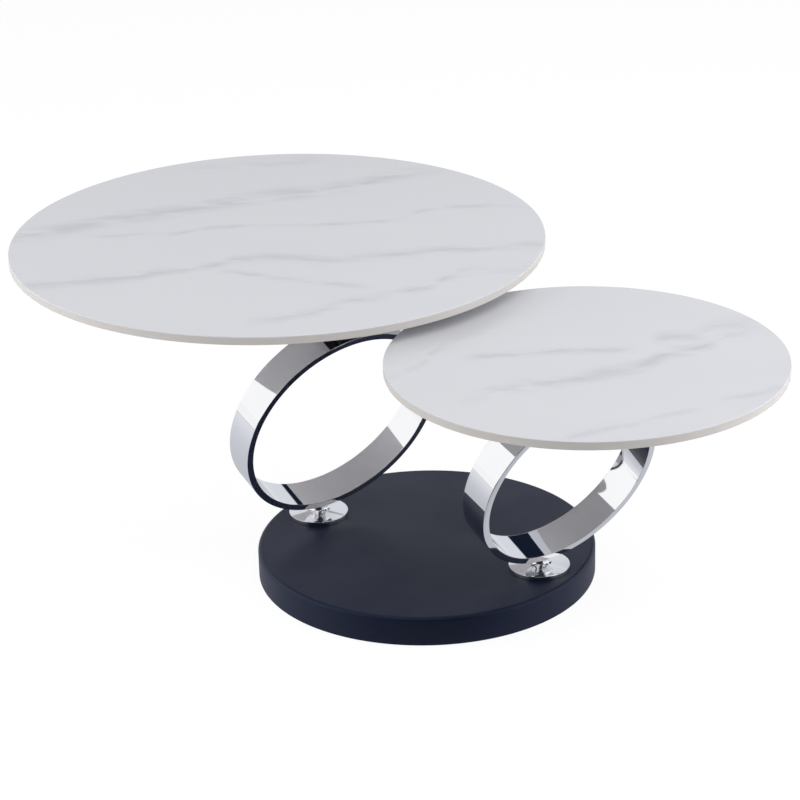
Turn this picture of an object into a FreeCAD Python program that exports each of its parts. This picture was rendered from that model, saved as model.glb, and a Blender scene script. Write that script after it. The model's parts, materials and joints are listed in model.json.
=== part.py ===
import FreeCAD, Part
import math
import os
import Sketcher
from FreeCAD import Placement, Rotation, Vector
from types import SimpleNamespace

# Swivel coffee table: a weighted round base with two vertical pivots, and on each pivot a leaning
# flat-bar hoop that carries a round stone top.  Millimetres, +Z up, origin at the centre of the
# base's underside.  The pivots stand on the X axis, the large top's at -X and the small top's at +X.

SIZES = {
    # base
    "base_diameter": 488.0,
    "base_height": 43.0,
    "shell_wall": 3.0,
    "shell_edge_radius": 6.0,
    "shell_floor_gap": 1.5,
    "floor_pad_thickness": 2.0,
    "floor_pad_margin": 6.0,
    "bottom_plate_thickness": 3.0,
    "bottom_plate_gap": 0.5,
    "ballast_thickness": 20.0,
    "ballast_edge_gap": 1.0,
    "ballast_window_gap": 3.0,
    "ballast_bolt_inset": 44.0,
    "ballast_bolt_count": 6,
    "ballast_stud_radius": 4.0,
    "ballast_stud_tail": 9.0,
    "ballast_nut_width": 13.0,
    "ballast_nut_height": 6.5,
    "plate_screw_inset": 79.0,
    "plate_screw_count": 6,
    "plate_screw_radius": 3.0,
    "plate_screw_head_radius": 5.5,
    "plate_screw_grip": 12.0,
    "spacer_radius": 8.0,
    "bolt_clearance": 0.4,
    "base_bolt_turn": 30.0,
    # fixed half of each pivot
    "pivot_inset": 59.0,
    "housing_collar_radius": 18.0,
    "housing_flange_radius": 45.0,
    "housing_flange_thickness": 4.0,
    "housing_barrel_radius": 22.0,
    "housing_relief_radius": 12.0,
    "bushing_radius": 14.0,
    "bushing_length": 10.0,
    "bushing_clearance": 0.05,
    "pivot_stud_circle": 68.0,
    "pivot_stud_count": 4,
    "pivot_stud_turn": 45.0,
    "pivot_stud_radius": 3.0,
    "pivot_stud_tail": 7.0,
    "pivot_nut_width": 10.0,
    "pivot_nut_height": 5.0,
    "slide_washer_radius": 33.0,
    "slide_washer_thickness": 1.3,
    "slide_gap": 0.3,
    # turning half of each pivot
    "spindle_radius": 10.0,
    "spindle_seat": 9.0,
    "spindle_thread_radius": 6.0,
    "spindle_thread_spare": 1.0,
    "spindle_end_gap": 2.7,
    "thrust_washer_radius": 15.0,
    "thrust_washer_thickness": 2.0,
    "spindle_nut_width": 19.0,
    "spindle_nut_height": 7.0,
    "cap_radius": 43.5,
    "cap_rim_height": 6.0,
    "cap_dish_rise": 3.0,
    "cap_hub_radius": 12.0,
    "cap_height": 16.0,
    "cap_sweep_radius": 6.0,
    "cap_recess_gap": 1.5,
    # hoops and the saddles under and over them
    "ring_standoff": 30.5,
    "ring_lean": 19.7,
    "ring_azimuth": -24.8,
    "ring_band_width": 50.0,
    "ring_band_thickness": 10.0,
    "ring_edge_chamfer": 0.8,
    "large_ring_diameter": 320.0,
    "neck_radius": 11.0,
    "saddle_radius": 22.0,
    "saddle_wall": 5.0,
    "head_length": 64.0,
    "head_width": 44.0,
    "head_height": 16.0,
    "head_skirt": 12.0,
    "head_corner_radius": 8.0,
    # tops and the plates under them
    "large_top_diameter": 800.0,
    "small_top_diameter": 550.0,
    "top_thickness": 12.0,
    "top_edge_chamfer": 1.0,
    "tier_gap": 17.2,
    "large_rim_inset": 94.1,
    "large_top_bearing": 143.0,
    "small_rim_gap": 75.8,
    "small_top_bearing": 6.2,
    "support_plate_thickness": 6.0,
    "support_plate_width": 100.0,
    "support_plate_corner": 24.0,
    "plate_tail": 62.0,
    "large_plate_reach": 150.0,
    "small_plate_reach": 75.0,
    "large_plate_rows": 3,
    "small_plate_rows": 2,
    "plate_hole_inset": 14.0,
    "top_screw_radius": 3.0,
    "top_screw_head_radius": 5.5,
    "top_screw_head_height": 3.3,
    "insert_radius": 4.5,
    "insert_length": 8.5,
}
size = SimpleNamespace(**SIZES)

doc = FreeCAD.newDocument("SwivelCoffeeTable")
sheet = doc.addObject("Spreadsheet::Sheet", "Dim")
for row, (alias, value) in enumerate(SIZES.items(), start=1):
    sheet.set(f"A{row}", alias)
    sheet.set(f"B{row}", str(value))
    sheet.setAlias(f"B{row}", alias)
doc.recompute()

nodes = []


# ------------------------------------------------------------------------------ drawing helpers
FIRST_GUESS = 50.0
TOLERANCE = 0.01


def keep(piece):
    """Marks an object of the document as a sub-part of its own, named after itself."""
    piece.Label = piece.Name
    nodes.append(piece)
    return piece


def new_body(name, placement):
    body = doc.addObject("PartDesign::Body", name)
    body.Placement = placement
    return body


def new_sketch(body, name, role):
    """A sketch on the body's own origin plane with this role, such as XY_Plane."""
    planes = {feature.Role: feature for feature in body.Origin.OriginFeatures}
    sketch = body.newObject("Sketcher::SketchObject", name)
    sketch.AttachmentSupport = (planes[role], "")
    sketch.MapMode = "FlatFace"
    return sketch


def bind(sketch, constraint, expression):
    index = sketch.addConstraint(constraint)
    sketch.setExpression(f"Constraints[{index}]", expression)


def draw_outline(sketch, corners):
    """A closed outline of straight lines, each corner tied to the sheet by two expressions.  It is
    drawn first on a circle, in order, from where the solver moves each corner to its place."""
    total = len(corners)
    start = [polar(FIRST_GUESS, 360 * i / total) for i in range(total)]
    for i in range(total):
        sketch.addGeometry(Part.LineSegment(start[i], start[(i + 1) % total]), False)
    for i in range(total):
        sketch.addConstraint(Sketcher.Constraint("Coincident", i, 2, (i + 1) % total, 1))
    for i, (across, along) in enumerate(corners):
        bind(sketch, Sketcher.Constraint("DistanceX", -1, 1, i, 1, start[i].x), across)
        bind(sketch, Sketcher.Constraint("DistanceY", -1, 1, i, 1, start[i].y), along)


def draw_circle(sketch, centre, radius):
    """A circle of a radius given as an expression, about a point given in numbers."""
    circle = Part.Circle(Vector(centre[0], centre[1], 0), Vector(0, 0, 1), FIRST_GUESS)
    element = sketch.addGeometry(circle, False)
    sketch.addConstraint(Sketcher.Constraint("DistanceX", -1, 1, element, 3, centre[0]))
    sketch.addConstraint(Sketcher.Constraint("DistanceY", -1, 1, element, 3, centre[1]))
    bind(sketch, Sketcher.Constraint("Radius", element, 5), radius)


def turned(name, placement, corners):
    """A lathe-turned piece: its half outline (radius, height) spun about its own Z."""
    body = new_body(name, placement)
    sketch = new_sketch(body, name + "_outline", "XZ_Plane")
    draw_outline(sketch, corners)
    spin = body.newObject("PartDesign::Revolution", name + "_spin")
    spin.Profile = sketch
    spin.ReferenceAxis = (sketch, ["V_Axis"])
    spin.Angle = 360
    body.Tip = spin
    doc.recompute()
    return body


def padded(name, placement, thickness, draw):
    """A flat piece: what draw() puts on its XY plane, padded upwards."""
    body = new_body(name, placement)
    sketch = new_sketch(body, name + "_outline", "XY_Plane")
    draw(sketch)
    pad = body.newObject("PartDesign::Pad", name + "_pad")
    pad.Profile = sketch
    pad.setExpression("Length", thickness)
    body.Tip = pad
    doc.recompute()
    return body


def drill(body, name, centres, radius, depth=None, downwards=False):
    """Round holes from the body's own XY plane, through it or as deep as depth says."""
    before = body.Shape.Volume
    sketch = new_sketch(body, f"{body.Name}_{name}_circles", "XY_Plane")
    for centre in centres:
        draw_circle(sketch, centre, radius)
    pocket = body.newObject("PartDesign::Pocket", f"{body.Name}_{name}")
    pocket.Profile = sketch
    pocket.Reversed = not downwards
    if depth:
        pocket.setExpression("Length", depth)
    else:
        pocket.Type = "ThroughAll"
    body.Tip = pocket
    doc.recompute()
    if body.Shape.Volume > before - TOLERANCE:
        raise RuntimeError(pocket.Name + " cuts nothing")


def dress(body, kind, amount, wanted):
    """A Fillet or Chamfer on those edges of the body that wanted() picks."""
    base = body.Tip
    edges = [f"Edge{i}" for i, edge in enumerate(base.Shape.Edges, start=1) if wanted(edge)]
    feature = body.newObject("PartDesign::" + kind, f"{body.Name}_{kind.lower()}")
    feature.Base = (base, edges)
    feature.setExpression("Radius" if kind == "Fillet" else "Size", amount)
    body.Tip = feature
    doc.recompute()


def round_edge(radius, height=None):
    """A test for whole circular edges of this radius, at this height where one is given."""
    def wanted(edge):
        curve = edge.Curve
        if not isinstance(curve, Part.Circle) or abs(curve.Radius - radius) > TOLERANCE:
            return False
        return height is None or abs(curve.Center.z - height) < TOLERANCE
    return wanted


def upright_edge(edge):
    """A test for straight edges that run along Z."""
    return isinstance(edge.Curve, Part.Line) and abs(edge.Curve.Direction.z) > 1 - TOLERANCE


def solid(kind, name, placement, **expressions):
    """A Part primitive whose sizes are expressions on the sheet."""
    primitive = doc.addObject("Part::" + kind, name)
    for prop, expression in expressions.items():
        primitive.setExpression(prop, expression)
    primitive.Placement = placement
    return primitive


def joined(kind, name, base, tool):
    """Part::Fuse, Part::Cut or Part::Common of two solids."""
    result = doc.addObject("Part::" + kind, name)
    result.Base = base
    result.Tool = tool
    return result


def group(name, pieces):
    """Equal loose pieces that share one node."""
    compound = doc.addObject("Part::Compound", name)
    compound.Links = pieces
    return keep(compound)


def hex_nut(name, placement, width, height, bore):
    blank = solid("Prism", name + "_blank", placement, Circumradius=f"{width} / 2 / cos(30)", Height=height)
    hole = solid("Cylinder", name + "_bore", placement, Radius=bore, Height=height)
    return joined("Cut", name, blank, hole)


def at(x, y, z, turn=0.0):
    return Placement(Vector(x, y, z), Rotation(Vector(0, 0, 1), turn))


def polar(distance, bearing):
    return Rotation(Vector(0, 0, 1), bearing).multVec(Vector(distance, 0, 0))


def on_circle(radius, number, start):
    return [polar(radius, start + 360 * i / number) for i in range(number)]


# ------------------------------------------------------------------------------- shared levels
BASE_RIM = size.base_diameter / 2
ROOF = size.base_height - size.shell_wall
BALLAST_UNDERSIDE = ROOF - size.ballast_thickness
BOTTOM_PLATE_TOP = size.floor_pad_thickness + size.bottom_plate_thickness
PIVOT_REACH = BASE_RIM - size.pivot_inset
PIVOTS = {"large": Vector(-PIVOT_REACH, 0, 0), "small": Vector(PIVOT_REACH, 0, 0)}
BALLAST_STUDS = on_circle(BASE_RIM - size.ballast_bolt_inset, size.ballast_bolt_count, size.base_bolt_turn)
PLATE_SCREWS = on_circle(BASE_RIM - size.plate_screw_inset, size.plate_screw_count, size.base_bolt_turn)
PIVOT_STUDS = on_circle(size.pivot_stud_circle / 2, size.pivot_stud_count, size.pivot_stud_turn)

# Each pivot hangs from the roof as far as leaves its nut and thread end clear of the bottom plate.
SPINDLE_NUT_UNDERSIDE = BOTTOM_PLATE_TOP + size.spindle_end_gap + size.spindle_thread_spare
HOUSING_DEPTH = "(Dim.base_height - Dim.floor_pad_thickness - Dim.bottom_plate_thickness" \
                " - Dim.spindle_end_gap - Dim.spindle_thread_spare - Dim.spindle_nut_height" \
                " - Dim.thrust_washer_thickness - Dim.slide_gap)"

# The small hoop is as much lower as puts its stone under the large one, the gap between tiers apart.
RING_DIAMETERS = {
    "large": "Dim.large_ring_diameter",
    "small": "(Dim.large_ring_diameter - (Dim.tier_gap + Dim.top_thickness) / cos(Dim.ring_lean))"}
RING_RADII = {
    "large": size.large_ring_diameter / 2,
    "small": size.large_ring_diameter / 2
             - (size.tier_gap + size.top_thickness) / math.cos(math.radians(size.ring_lean)) / 2}


# ------------------------------------------------------------------------------------ the base
def make_base_shell():
    """Spun steel dish, open below, with a soft upper edge and a collar hole at each pivot."""
    shell = turned("base_shell", at(0, 0, 0), [
        ("0", "Dim.base_height - Dim.shell_wall"),
        ("Dim.base_diameter / 2 - Dim.shell_wall", "Dim.base_height - Dim.shell_wall"),
        ("Dim.base_diameter / 2 - Dim.shell_wall", "Dim.shell_floor_gap"),
        ("Dim.base_diameter / 2", "Dim.shell_floor_gap"),
        ("Dim.base_diameter / 2", "Dim.base_height"),
        ("0", "Dim.base_height")])
    dress(shell, "Fillet", "Dim.shell_edge_radius", round_edge(BASE_RIM, size.base_height))
    dress(shell, "Fillet", "Dim.shell_edge_radius - Dim.shell_wall",
          round_edge(BASE_RIM - size.shell_wall, ROOF))
    drill(shell, "collar_holes", PIVOTS.values(), "Dim.housing_collar_radius")
    keep(shell)


def make_ballast():
    """Cast-iron disc against the shell's roof, with a window round each pivot housing."""
    ballast = padded("ballast_disc", at(0, 0, BALLAST_UNDERSIDE), "Dim.ballast_thickness",
                     lambda sketch: draw_circle(sketch, Vector(),
                                                "Dim.base_diameter / 2 - Dim.shell_edge_radius"
                                                " - Dim.ballast_edge_gap"))
    drill(ballast, "windows", PIVOTS.values(), "Dim.housing_flange_radius + Dim.ballast_window_gap")
    drill(ballast, "stud_holes", BALLAST_STUDS, "Dim.ballast_stud_radius + Dim.bolt_clearance")
    drill(ballast, "tapped_holes", PLATE_SCREWS, "Dim.plate_screw_radius", "Dim.plate_screw_grip")
    keep(ballast)


def make_studs(name, sites, grip, radius, tail):
    """Weld studs that hang from the shell's roof through what they clamp."""
    low = ROOF - SIZES[grip] - SIZES[tail]
    group(name, [
        solid("Cylinder", f"{name}_{i}", at(site.x, site.y, low), Radius="Dim." + radius,
              Height=f"Dim.{grip} + Dim.{tail}")
        for i, site in enumerate(sites)])


def make_base_fasteners():
    """Studs under the roof, and the nuts that hold the ballast and the two housings up to it."""
    flange_studs = [pivot + site for pivot in PIVOTS.values() for site in PIVOT_STUDS]
    make_studs("ballast_studs", BALLAST_STUDS, "ballast_thickness", "ballast_stud_radius",
               "ballast_stud_tail")
    make_studs("pivot_studs", flange_studs, "housing_flange_thickness", "pivot_stud_radius",
               "pivot_stud_tail")
    group("ballast_nuts", [
        hex_nut(f"ballast_nut_{i}", at(site.x, site.y, BALLAST_UNDERSIDE - size.ballast_nut_height),
                "Dim.ballast_nut_width", "Dim.ballast_nut_height", "Dim.ballast_stud_radius")
        for i, site in enumerate(BALLAST_STUDS)])
    flange_underside = ROOF - size.housing_flange_thickness
    group("pivot_nuts", [
        hex_nut(f"pivot_nut_{i}", at(site.x, site.y, flange_underside - size.pivot_nut_height),
                "Dim.pivot_nut_width", "Dim.pivot_nut_height", "Dim.pivot_stud_radius")
        for i, site in enumerate(flange_studs)])


def make_bottom_plate():
    """Steel closing plate, countersunk from below, on tube spacers under the ballast."""
    rim = "Dim.base_diameter / 2 - Dim.shell_wall - Dim.bottom_plate_gap"
    plate = padded("bottom_plate", at(0, 0, size.floor_pad_thickness), "Dim.bottom_plate_thickness",
                   lambda sketch: draw_circle(sketch, Vector(), rim))
    hole_radius = size.plate_screw_radius + size.bolt_clearance
    drill(plate, "screw_holes", PLATE_SCREWS, "Dim.plate_screw_radius + Dim.bolt_clearance")
    dress(plate, "Chamfer", "Dim.plate_screw_head_radius - Dim.plate_screw_radius",
          round_edge(hole_radius, 0))
    keep(plate)

    spacers = []
    screws = []
    for i, site in enumerate(PLATE_SCREWS):
        low = at(site.x, site.y, BOTTOM_PLATE_TOP)
        tube = "Dim.base_height - Dim.shell_wall - Dim.ballast_thickness" \
               " - Dim.floor_pad_thickness - Dim.bottom_plate_thickness"
        barrel = solid("Cylinder", f"spacer_barrel_{i}", low, Radius="Dim.spacer_radius", Height=tube)
        bore = solid("Cylinder", f"spacer_bore_{i}", low,
                     Radius="Dim.plate_screw_radius + Dim.bolt_clearance", Height=tube)
        spacers.append(joined("Cut", f"spacer_{i}", barrel, bore))
        foot = at(site.x, site.y, size.floor_pad_thickness)
        head = solid("Cone", f"plate_screw_head_{i}", foot, Radius1="Dim.plate_screw_head_radius",
                     Radius2="Dim.plate_screw_radius",
                     Height="Dim.plate_screw_head_radius - Dim.plate_screw_radius")
        shank = solid("Cylinder", f"plate_screw_shank_{i}", foot, Radius="Dim.plate_screw_radius",
                      Height="Dim.base_height - Dim.shell_wall - Dim.ballast_thickness"
                             " - Dim.floor_pad_thickness + Dim.plate_screw_grip")
        screws.append(joined("Fuse", f"plate_screw_{i}", head, shank))
    group("plate_spacers", spacers)
    group("bottom_plate_screws", screws)


def make_floor_pad():
    """Soft foam sheet glued under the bottom plate, which the table stands on."""
    pad = padded("floor_pad", at(0, 0, 0), "Dim.floor_pad_thickness",
                 lambda sketch: draw_circle(sketch, Vector(), "Dim.base_diameter / 2 - Dim.shell_wall"
                                                              " - Dim.floor_pad_margin"))
    keep(pad)


# ---------------------------------------------------------------------------------- the pivots
def make_fixed_pivot(which):
    """Flanged housing under the roof, its two bushings, and the slide washer on top of it."""
    seat = at(PIVOTS[which].x, 0, size.base_height)
    housing = turned(which + "_pivot_housing", seat, [
        ("Dim.bushing_radius", "0"),
        ("Dim.housing_collar_radius", "0"),
        ("Dim.housing_collar_radius", "-Dim.shell_wall"),
        ("Dim.housing_flange_radius", "-Dim.shell_wall"),
        ("Dim.housing_flange_radius", "-Dim.shell_wall - Dim.housing_flange_thickness"),
        ("Dim.housing_barrel_radius", "-Dim.shell_wall - Dim.housing_flange_thickness"),
        ("Dim.housing_barrel_radius", "-" + HOUSING_DEPTH),
        ("Dim.bushing_radius", "-" + HOUSING_DEPTH),
        ("Dim.bushing_radius", "Dim.bushing_length - " + HOUSING_DEPTH),
        ("Dim.housing_relief_radius", "Dim.bushing_length - " + HOUSING_DEPTH),
        ("Dim.housing_relief_radius", "-Dim.bushing_length"),
        ("Dim.bushing_radius", "-Dim.bushing_length")])
    drill(housing, "stud_holes", PIVOT_STUDS, "Dim.pivot_stud_radius + Dim.bolt_clearance", downwards=True)
    keep(housing)
    for level, low in (("upper", "-Dim.bushing_length"), ("lower", "-" + HOUSING_DEPTH)):
        keep(turned(f"{which}_{level}_bushing", seat, [
            ("Dim.spindle_radius + Dim.bushing_clearance", low),
            ("Dim.bushing_radius", low),
            ("Dim.bushing_radius", low + " + Dim.bushing_length"),
            ("Dim.spindle_radius + Dim.bushing_clearance", low + " + Dim.bushing_length")]))
    keep(turned(which + "_slide_washer", seat, [
        ("Dim.spindle_radius + Dim.cap_recess_gap", "0"),
        ("Dim.slide_washer_radius", "0"),
        ("Dim.slide_washer_radius", "Dim.slide_washer_thickness"),
        ("Dim.spindle_radius + Dim.cap_recess_gap", "Dim.slide_washer_thickness")]))


def make_turning_pivot(which):
    """Spindle with its thrust washer and nut below, and the trumpet-shaped cap above the base."""
    seat = at(PIVOTS[which].x, 0, size.base_height)
    shoulder = f"-{HOUSING_DEPTH} - Dim.slide_gap"
    nut_face = shoulder + " - Dim.thrust_washer_thickness"
    thread_end = nut_face + " - Dim.spindle_nut_height - Dim.spindle_thread_spare"
    keep(turned(which + "_spindle", seat, [
        ("0", thread_end),
        ("Dim.spindle_thread_radius", thread_end),
        ("Dim.spindle_thread_radius", shoulder),
        ("Dim.spindle_radius", shoulder),
        ("Dim.spindle_radius", "Dim.spindle_seat"),
        ("0", "Dim.spindle_seat")]))
    keep(turned(which + "_thrust_washer", seat, [
        ("Dim.spindle_thread_radius", nut_face),
        ("Dim.thrust_washer_radius", nut_face),
        ("Dim.thrust_washer_radius", shoulder),
        ("Dim.spindle_thread_radius", shoulder)]))
    keep(hex_nut(which + "_spindle_nut", at(PIVOTS[which].x, 0, SPINDLE_NUT_UNDERSIDE),
                 "Dim.spindle_nut_width", "Dim.spindle_nut_height", "Dim.spindle_thread_radius"))
    recess = "Dim.slide_washer_radius + Dim.cap_recess_gap"
    ceiling = "Dim.slide_washer_thickness + Dim.slide_gap"
    cap = turned(which + "_flange_cap", seat, [
        ("Dim.spindle_radius", ceiling),
        (recess, ceiling),
        (recess, "Dim.slide_gap"),
        ("Dim.cap_radius", "Dim.slide_gap"),
        ("Dim.cap_radius", "Dim.cap_rim_height"),
        ("Dim.cap_hub_radius", "Dim.cap_rim_height + Dim.cap_dish_rise"),
        ("Dim.cap_hub_radius", "Dim.cap_height"),
        ("0", "Dim.cap_height"),
        ("0", "Dim.spindle_seat"),
        ("Dim.spindle_radius", "Dim.spindle_seat")])
    dress(cap, "Fillet", "Dim.cap_sweep_radius",
          round_edge(size.cap_hub_radius, size.cap_rim_height + size.cap_dish_rise))
    keep(cap)


# ----------------------------------------------------------------------------------- the hoops
def ring_pose(which):
    """Where a hoop stands: it touches the pivot's axis at its lowest point and leans over it."""
    turn = Rotation(Vector(0, 0, 1), size.ring_azimuth)
    tilt = Rotation(Vector(0, 1, 0), size.ring_lean)
    up = turn.multVec(tilt.multVec(Vector(0, 0, 1)))
    normal = turn.multVec(tilt.multVec(Vector(-1, 0, 0)))
    across = turn.multVec(Vector(0, 1, 0))
    radius = RING_RADII[which]
    bottom = PIVOTS[which] + Vector(0, 0, size.base_height + size.ring_standoff)
    centre = bottom + up * radius
    return SimpleNamespace(bottom=bottom, centre=centre, top=bottom + up * 2 * radius, up=up, radius=radius,
                           frame=Placement(centre, Rotation(across, up, normal, "ZXY")))


def ring_core(which, name, grow="0"):
    """A solid cylinder on the hoop's own axis, wider than its band, to trim what seats on it."""
    pose = ring_pose(which)
    frame = pose.frame.multiply(at(0, 0, -size.ring_band_width))
    return solid("Cylinder", f"{which}_{name}", frame, Radius=f"{RING_DIAMETERS[which]} / 2 + {grow}",
                 Height="2 * Dim.ring_band_width")


def make_ring(which):
    """Flat-bar hoop, rolled and butt-welded, its edges broken by a small chamfer."""
    outer = RING_DIAMETERS[which] + " / 2"
    ring = turned(which + "_ring", ring_pose(which).frame, [
        (outer + " - Dim.ring_band_thickness", "-Dim.ring_band_width / 2"),
        (outer, "-Dim.ring_band_width / 2"),
        (outer, "Dim.ring_band_width / 2"),
        (outer + " - Dim.ring_band_thickness", "Dim.ring_band_width / 2")])
    dress(ring, "Chamfer", "Dim.ring_edge_chamfer", lambda edge: isinstance(edge.Curve, Part.Circle))
    keep(ring)


def make_lower_saddle(which):
    """Short neck on the cap's hub with a curved round pad, both trimmed to the leaning hoop."""
    pose = ring_pose(which)
    hub_top = at(PIVOTS[which].x, 0, size.base_height + size.cap_height)
    neck = solid("Cylinder", which + "_neck", hub_top, Radius="Dim.neck_radius",
                 Height="Dim.ring_standoff - Dim.cap_height + Dim.neck_radius")
    below = Placement(pose.bottom - pose.up * 2 * size.saddle_wall, Rotation(Vector(0, 0, 1), pose.up))
    puck = solid("Cylinder", which + "_saddle_puck", below, Radius="Dim.saddle_radius",
                 Height="4 * Dim.saddle_wall")
    pad = joined("Common", which + "_saddle_pad", puck, ring_core(which, "saddle_skin", "Dim.saddle_wall"))
    stem = joined("Fuse", which + "_saddle_stem", neck, pad)
    keep(joined("Cut", which + "_lower_saddle", stem, ring_core(which, "saddle_trim")))


def head_level(which):
    """Height of the upper saddle's flat top, which the support plate lies on."""
    return ring_pose(which).top.z + size.head_height


def make_upper_saddle(which):
    """Block on top of the hoop: level above, hollowed below to the hoop's leaning round."""
    pose = ring_pose(which)
    low = at(pose.top.x, pose.top.y, pose.top.z - size.head_skirt, size.ring_azimuth)
    block = padded(which + "_head_block", low, "Dim.head_height + Dim.head_skirt",
                   lambda sketch: draw_outline(sketch, [
                       ("-Dim.head_width / 2", "-Dim.head_length / 2"),
                       ("Dim.head_width / 2", "-Dim.head_length / 2"),
                       ("Dim.head_width / 2", "Dim.head_length / 2"),
                       ("-Dim.head_width / 2", "Dim.head_length / 2")]))
    dress(block, "Fillet", "Dim.head_corner_radius", upright_edge)
    keep(joined("Cut", which + "_upper_saddle", block, ring_core(which, "head_trim")))


# ------------------------------------------------------------------------------------ the tops
def top_centre(which):
    """Both stones are set out from the large hoop's head: one covers it, the other passes beside it."""
    head = ring_pose("large").top
    if which == "large":
        distance = size.large_top_diameter / 2 - size.large_rim_inset
    else:
        distance = size.small_top_diameter / 2 + size.small_rim_gap
    centre = head + polar(distance, SIZES[which + "_top_bearing"])
    return Vector(centre.x, centre.y, head_level(which) + size.support_plate_thickness)


def plate_frame(which):
    """Underside of the support plate: square to the hoop, origin over its top, X against its lean."""
    head = ring_pose(which).top
    return at(head.x, head.y, head_level(which), size.ring_azimuth + 180)


def plate_holes(which):
    """Screw sites on the plate, in rows of two from its tail to its far end."""
    rows = SIZES[which + "_plate_rows"]
    first = size.plate_hole_inset - size.plate_tail
    last = SIZES[which + "_plate_reach"] - size.plate_hole_inset
    side = size.support_plate_width / 2 - size.plate_hole_inset
    return [Vector(first + (last - first) * i / (rows - 1), y, 0) for i in range(rows) for y in (-side, side)]


def make_support_plate(which):
    """Black steel plate under the stone, round-cornered, drilled for its screws."""
    plate = padded(which + "_support_plate", plate_frame(which), "Dim.support_plate_thickness",
                   lambda sketch: draw_outline(sketch, [
                       ("-Dim.plate_tail", "-Dim.support_plate_width / 2"),
                       (f"Dim.{which}_plate_reach", "-Dim.support_plate_width / 2"),
                       (f"Dim.{which}_plate_reach", "Dim.support_plate_width / 2"),
                       ("-Dim.plate_tail", "Dim.support_plate_width / 2")]))
    dress(plate, "Fillet", "Dim.support_plate_corner", upright_edge)
    drill(plate, "screw_holes", plate_holes(which), "Dim.top_screw_radius + Dim.bolt_clearance")
    keep(plate)


def make_top(which):
    """Round stone top with broken edges and blind holes for its inserts."""
    frame = Placement(top_centre(which), Rotation())
    stone = padded(which + "_top", frame, "Dim.top_thickness",
                   lambda sketch: draw_circle(sketch, Vector(), f"Dim.{which}_top_diameter / 2"))
    dress(stone, "Chamfer", "Dim.top_edge_chamfer", round_edge(SIZES[which + "_top_diameter"] / 2))
    to_stone = frame.inverse().multiply(plate_frame(which))
    sites = [to_stone.multVec(site) for site in plate_holes(which)]
    drill(stone, "insert_holes", sites, "Dim.insert_radius", "Dim.insert_length")
    keep(stone)


def make_top_fasteners(which):
    """Pan-head screws up through the plate into brass inserts glued in the stone."""
    frame = plate_frame(which)
    screws = []
    inserts = []
    for i, site in enumerate(plate_holes(which)):
        under = frame.multiply(at(site.x, site.y, 0))
        over = frame.multiply(at(site.x, site.y, size.support_plate_thickness))
        below = frame.multiply(at(site.x, site.y, -size.top_screw_head_height))
        head = solid("Cylinder", f"{which}_screw_head_{i}", below, Radius="Dim.top_screw_head_radius",
                     Height="Dim.top_screw_head_height")
        shank = solid("Cylinder", f"{which}_screw_shank_{i}", under, Radius="Dim.top_screw_radius",
                      Height="Dim.support_plate_thickness + Dim.insert_length")
        screws.append(joined("Fuse", f"{which}_screw_{i}", head, shank))
        sleeve = solid("Cylinder", f"{which}_insert_sleeve_{i}", over, Radius="Dim.insert_radius",
                       Height="Dim.insert_length")
        thread = solid("Cylinder", f"{which}_insert_thread_{i}", over, Radius="Dim.top_screw_radius",
                       Height="Dim.insert_length")
        inserts.append(joined("Cut", f"{which}_insert_{i}", sleeve, thread))
    group(which + "_plate_screws", screws)
    group(which + "_top_inserts", inserts)


make_base_shell()
make_ballast()
make_base_fasteners()
make_bottom_plate()
make_floor_pad()
for unit in PIVOTS:
    make_fixed_pivot(unit)
    make_turning_pivot(unit)
    make_ring(unit)
    make_lower_saddle(unit)
    make_upper_saddle(unit)
    make_support_plate(unit)
    make_top(unit)
    make_top_fasteners(unit)
doc.recompute()

for item in doc.Objects:
    if "Invalid" in item.State or "Error" in item.State:
        raise RuntimeError(f"{item.Name} failed: {item.State}")
for node in nodes:
    if node.Shape.isNull() or not node.Shape.isValid():
        raise RuntimeError(f"{node.Label} has no valid shape")

os.makedirs("parts", exist_ok=True)
for node in nodes:
    node.Shape.exportStep(f"parts/{node.Label}.step")
    print(f"{node.Label:28s} {len(node.Shape.Solids):3d} solids {node.Shape.Volume / 1000:10.1f} cm3")
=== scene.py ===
import json
import math

import bpy
from mathutils import Matrix, Vector

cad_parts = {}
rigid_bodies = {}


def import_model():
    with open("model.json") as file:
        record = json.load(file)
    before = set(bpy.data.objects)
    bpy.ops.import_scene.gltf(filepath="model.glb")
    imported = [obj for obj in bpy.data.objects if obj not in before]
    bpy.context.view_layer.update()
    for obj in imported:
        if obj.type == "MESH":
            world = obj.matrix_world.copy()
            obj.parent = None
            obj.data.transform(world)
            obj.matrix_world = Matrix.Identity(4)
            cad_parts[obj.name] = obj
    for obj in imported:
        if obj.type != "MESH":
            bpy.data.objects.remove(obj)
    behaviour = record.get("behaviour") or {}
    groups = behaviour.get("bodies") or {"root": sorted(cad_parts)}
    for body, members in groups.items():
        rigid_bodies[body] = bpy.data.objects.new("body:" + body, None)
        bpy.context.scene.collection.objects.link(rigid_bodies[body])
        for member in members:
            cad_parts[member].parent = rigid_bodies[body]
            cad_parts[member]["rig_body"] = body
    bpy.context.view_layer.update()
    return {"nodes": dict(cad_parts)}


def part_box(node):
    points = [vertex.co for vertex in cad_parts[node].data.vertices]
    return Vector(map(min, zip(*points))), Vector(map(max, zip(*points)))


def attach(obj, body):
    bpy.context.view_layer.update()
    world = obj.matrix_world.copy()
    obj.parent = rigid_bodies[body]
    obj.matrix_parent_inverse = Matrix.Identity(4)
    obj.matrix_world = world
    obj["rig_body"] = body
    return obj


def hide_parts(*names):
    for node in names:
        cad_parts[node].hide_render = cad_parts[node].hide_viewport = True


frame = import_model()

# Swivel coffee table: a black weighted base, two leaning chromed hoops and two round stone tops.
# Metres, +Z up, in the frame of the CAD model.  Places come from the CAD nodes; what they don't
# give is named here.
MM = 0.001
UNITS = ("large", "small")

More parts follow.
